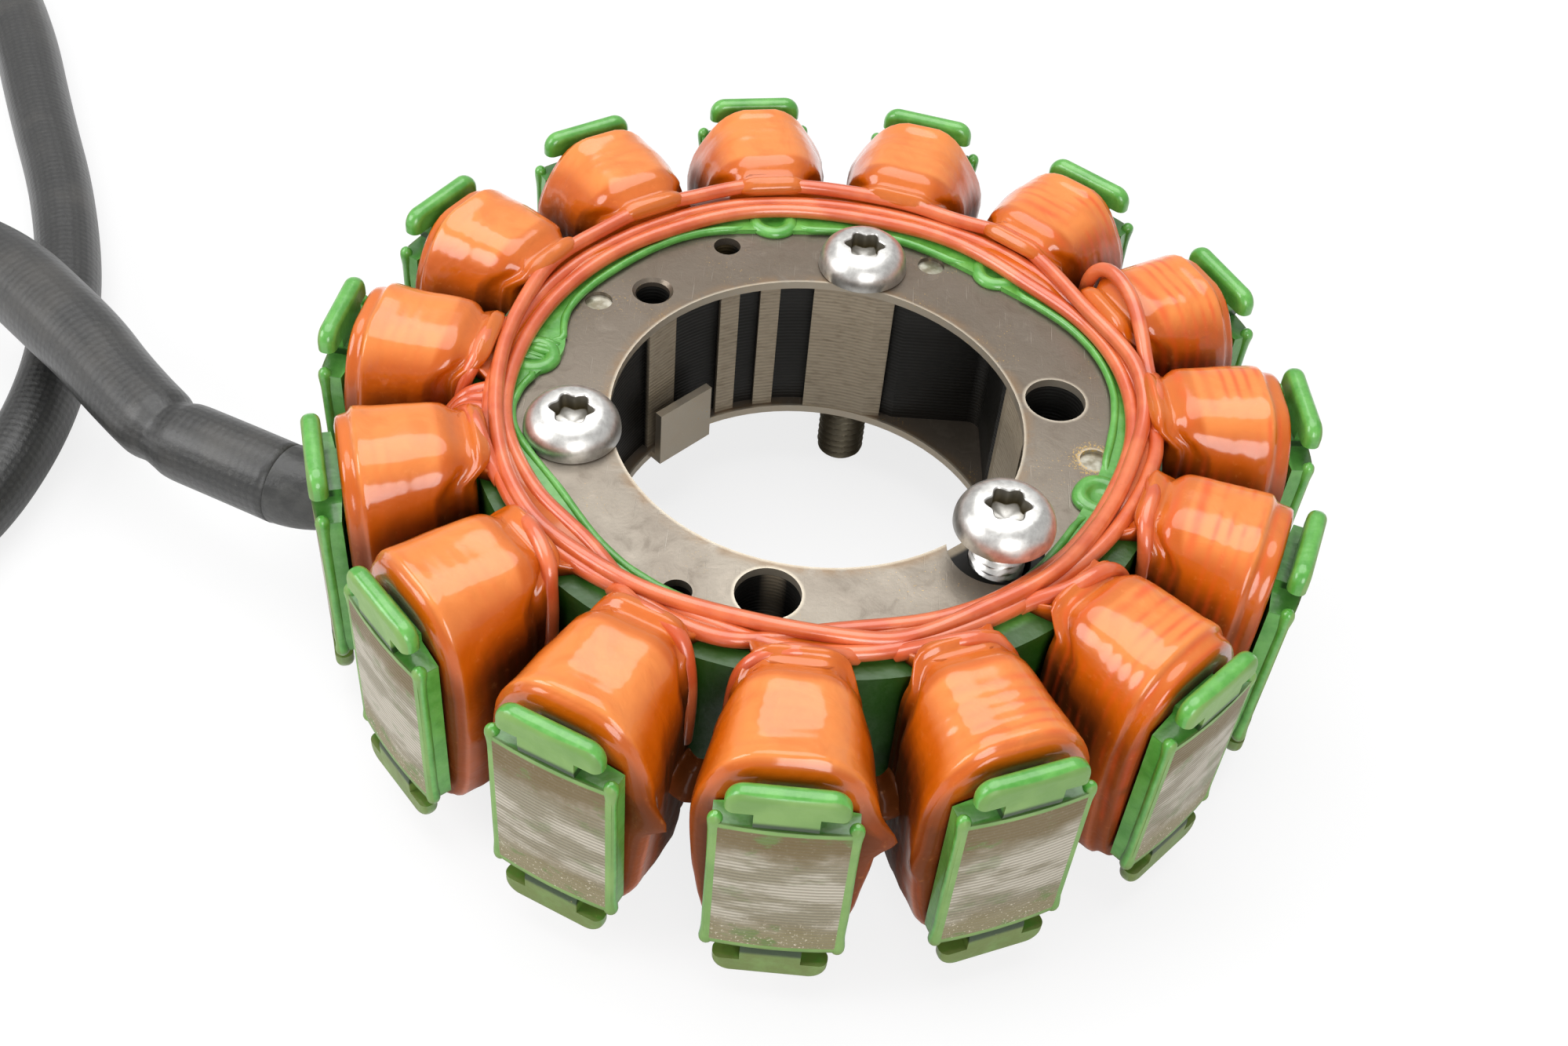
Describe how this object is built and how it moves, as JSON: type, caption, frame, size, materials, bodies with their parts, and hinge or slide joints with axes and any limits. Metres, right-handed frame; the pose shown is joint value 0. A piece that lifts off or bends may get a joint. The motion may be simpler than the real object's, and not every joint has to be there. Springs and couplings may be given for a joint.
{
  "type": "wound stator",
  "caption": "Round wound stator with coated salient poles, varnished coils, loose button-head mounting screws and a sleeved lead with a connector.",
  "frame": {"origin": "centre of the bore at the upper face of the upper end plate, which the screw heads bear on", "axes": "+Z along the bore axis towards the screw heads; the front pole points along -Y; the lead leaves towards -X"},
  "size_m": [0.2548, 0.1893, 0.0373],
  "materials": {
    "laminations": "ground, oil stained",
    "end_plates": "dull, stained",
    "coat": "fused powder, glossy",
    "coils": "enamelled wire under clear varnish",
    "wire": "enamelled wire under clear varnish",
    "sleeve": "woven, slightly shiny",
    "tail": "smooth insulation",
    "housing": "moulded, fine texture",
    "terminals": "tinned",
    "screws": "zinc plated, mottled",
    "pins": "plain"
  },
  "bodies": {
    "root": {"coil_01": "coils", "coil_02": "coils", "coil_03": "coils", "coil_04": "coils", "coil_05": "coils", "coil_06": "coils", "coil_07": "coils", "coil_08": "coils", "coil_09": "coils", "coil_10": "coils", "coil_11": "coils", "coil_12": "coils", "coil_13": "coils", "coil_14": "coils", "coil_15": "coils", "connector_housing": "housing", "connector_terminals": "terminals", "crossover_wire_a": "wire", "crossover_wire_b": "wire", "crossover_wire_c": "wire", "end_plate_bottom": "end_plates", "end_plate_top": "end_plates", "insulation_coat": "coat", "lamination_stack": "laminations", "lead_collar": "sleeve", "lead_sleeve": "sleeve", "lead_tail": "tail", "lead_wires": "wire", "mounting_screw_a": "screws", "mounting_screw_b": "screws", "mounting_screw_c": "screws", "stack_pins": "pins"}
  },
  "joints": []
}
